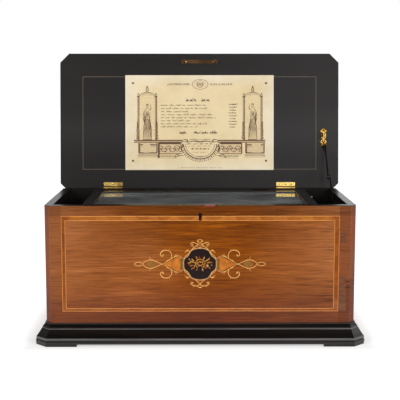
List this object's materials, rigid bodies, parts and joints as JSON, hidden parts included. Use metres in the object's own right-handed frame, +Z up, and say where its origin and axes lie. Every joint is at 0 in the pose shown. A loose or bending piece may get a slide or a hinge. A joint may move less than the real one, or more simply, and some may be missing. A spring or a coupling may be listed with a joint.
{
  "type": "cylinder music box",
  "caption": "Veneered table-top music box: hinged lid on a folding stay, glazed inner lid, pinned cylinder movement with comb, winding lever and governor, on a moulded black plinth.",
  "frame": {"origin": "centre of the bounding box at the table, with the lid open", "axes": "+X to the right seen from the front, -Y towards the front, +Z up"},
  "size_m": [0.5984, 0.3426, 0.5287],
  "materials": {
    "case_veneer": "french polished rosewood veneer with light stringing",
    "black_wood": "ebonised and polished",
    "inner_wood": "stained softwood",
    "brass": "lacquered",
    "bed_metal": "bronze painted casting",
    "steel": "polished",
    "spring_steel": "blued",
    "glass": "clear",
    "paper": "printed card",
    "silk": "silk ribbon"
  },
  "bodies": {
    "case": {"front_wall": "case_veneer", "back_wall": "case_veneer", "left_wall": "case_veneer", "right_wall": "case_veneer", "bottom_board": "inner_wood", "plinth_rails": "black_wood", "plinth_sides": "black_wood", "plinth_corners": "black_wood", "corner_feet": "black_wood", "partition_left": "black_wood", "partition_right": "black_wood", "hinge_rail": "black_wood", "bed_bearers": "inner_wood", "lock_case": "steel", "lock_cap": "brass", "case_hinge_leaves": "brass", "case_hinge_screws": "brass", "lid_hinge_pins": "brass", "stay_wall_stud": "brass", "glass_case_hinges": "brass", "bedplate": "bed_metal", "movement_screws": "steel", "barrel_bridge": "brass", "centre_bridge": "brass", "end_bridge": "brass", "comb": "steel", "comb_base": "bed_metal", "governor_frame": "brass", "control_studs": "brass"},
    "lock_bolt": {"lock_bolt": "steel"},
    "main_lid": {"main_lid": "black_wood", "tune_sheet": "paper", "sheet_tacks": "brass", "lock_link_plate": "brass", "lid_hinge_leaves": "brass", "lid_hinge_screws": "brass", "stay_bracket": "brass"},
    "stay_upper": {"stay_upper_link": "brass"},
    "stay_lower": {"stay_lower_link": "brass"},
    "glass_lid": {"glass_rail_front": "black_wood", "glass_rail_back": "black_wood", "glass_stiles": "black_wood", "glass_pane": "glass", "glass_lid_leaves": "brass", "pull_ribbon": "silk"},
    "winding_arbor": {"winding_arbor": "steel", "ratchet_wheel": "steel"},
    "winding_lever": {"winding_lever": "steel"},
    "click": {"ratchet_click": "steel"},
    "barrel": {"spring_barrel": "brass", "great_wheel": "brass", "mainspring": "spring_steel"},
    "cylinder_arbor": {"cylinder_arbor": "steel", "cylinder_wheel": "brass"},
    "cylinder": {"music_cylinder": "brass"},
    "governor": {"governor_arbor": "steel", "governor_wheel": "brass"},
    "fly": {"fly_spindle": "steel"},
    "start_lever": {"start_lever": "steel"},
    "change_lever": {"change_lever": "steel"}
  },
  "joints": [
    {"name": "main_lid_hinge", "type": "hinge", "parent": "case", "child": "main_lid", "pos_m": [0, 0.1189, 0.2546], "axis": [-1, 0, 0], "range_deg": [-96.7, 0]},
    {"name": "stay_lower_pivot", "type": "hinge", "parent": "case", "child": "stay_lower", "pos_m": [0.2622, 0.0089, 0.2306], "axis": [-1, 0, 0], "range_deg": [0, 83.8]},
    {"name": "stay_upper_pivot", "type": "hinge", "parent": "main_lid", "child": "stay_upper", "pos_m": [0.2588, 0.12304, 0.33869], "axis": [-1, 0, 0], "range_deg": [0, 29.6]},
    {"name": "glass_lid_hinge", "type": "hinge", "parent": "case", "child": "glass_lid", "pos_m": [0, 0.08765, 0.2527], "axis": [-1, 0, 0], "range_deg": [0, 88]},
    {"name": "lock_bolt_slide", "type": "slide", "parent": "case", "child": "lock_bolt", "axis": [1, 0, 0], "range_m": [0, 0.005]},
    {"name": "winding_lever_hinge", "type": "hinge", "parent": "case", "child": "winding_lever", "pos_m": [-0.23, -0.0307, 0.176], "axis": [-1, 0, 0], "range_deg": [0, 60]},
    {"name": "winding_arbor_turn", "type": "hinge", "parent": "case", "child": "winding_arbor", "pos_m": [-0.2, -0.0307, 0.176], "axis": [-1, 0, 0], "range_deg": [0, 60]},
    {"name": "click_pivot", "type": "hinge", "parent": "case", "child": "click", "pos_m": [-0.203, -0.00069, 0.176], "axis": [-1, 0, 0], "range_deg": [0, 15]},
    {"name": "cylinder_turn", "type": "hinge", "parent": "case", "child": "cylinder_arbor", "pos_m": [0, 0.0129, 0.182], "axis": [1, 0, 0], "continuous": true},
    {"name": "tune_shift", "type": "slide", "parent": "cylinder_arbor", "child": "cylinder", "axis": [1, 0, 0], "range_m": [0, 0.0035]},
    {"name": "barrel_turn", "type": "hinge", "parent": "case", "child": "barrel", "pos_m": [-0.17, -0.0307, 0.176], "axis": [1, 0, 0], "continuous": true},
    {"name": "governor_turn", "type": "hinge", "parent": "case", "child": "governor", "pos_m": [0.17, -0.01709, 0.1621], "axis": [1, 0, 0], "continuous": true},
    {"name": "fly_turn", "type": "hinge", "parent": "case", "child": "fly", "pos_m": [0.1755, -0.03449, 0.175], "axis": [0, 0, 1], "continuous": true},
    {"name": "start_lever_hinge", "type": "hinge", "parent": "case", "child": "start_lever", "pos_m": [0.218, 0.0159, 0.205], "axis": [1, 0, 0], "range_deg": [0, 12]},
    {"name": "change_lever_hinge", "type": "hinge", "parent": "case", "child": "change_lever", "pos_m": [0.218, -0.1261, 0.205], "axis": [1, 0, 0], "range_deg": [0, 12]}
  ],
  "couplings": [
    {"joint": "stay_lower_pivot", "follows": "main_lid_hinge", "ratio": -0.8661},
    {"joint": "stay_upper_pivot", "follows": "main_lid_hinge", "ratio": -0.3056},
    {"joint": "winding_arbor_turn", "follows": "winding_lever_hinge", "ratio": 1},
    {"joint": "barrel_turn", "follows": "cylinder_turn", "ratio": -0.28571},
    {"joint": "governor_turn", "follows": "cylinder_turn", "ratio": -5},
    {"joint": "fly_turn", "follows": "cylinder_turn", "ratio": 120}
  ]
}
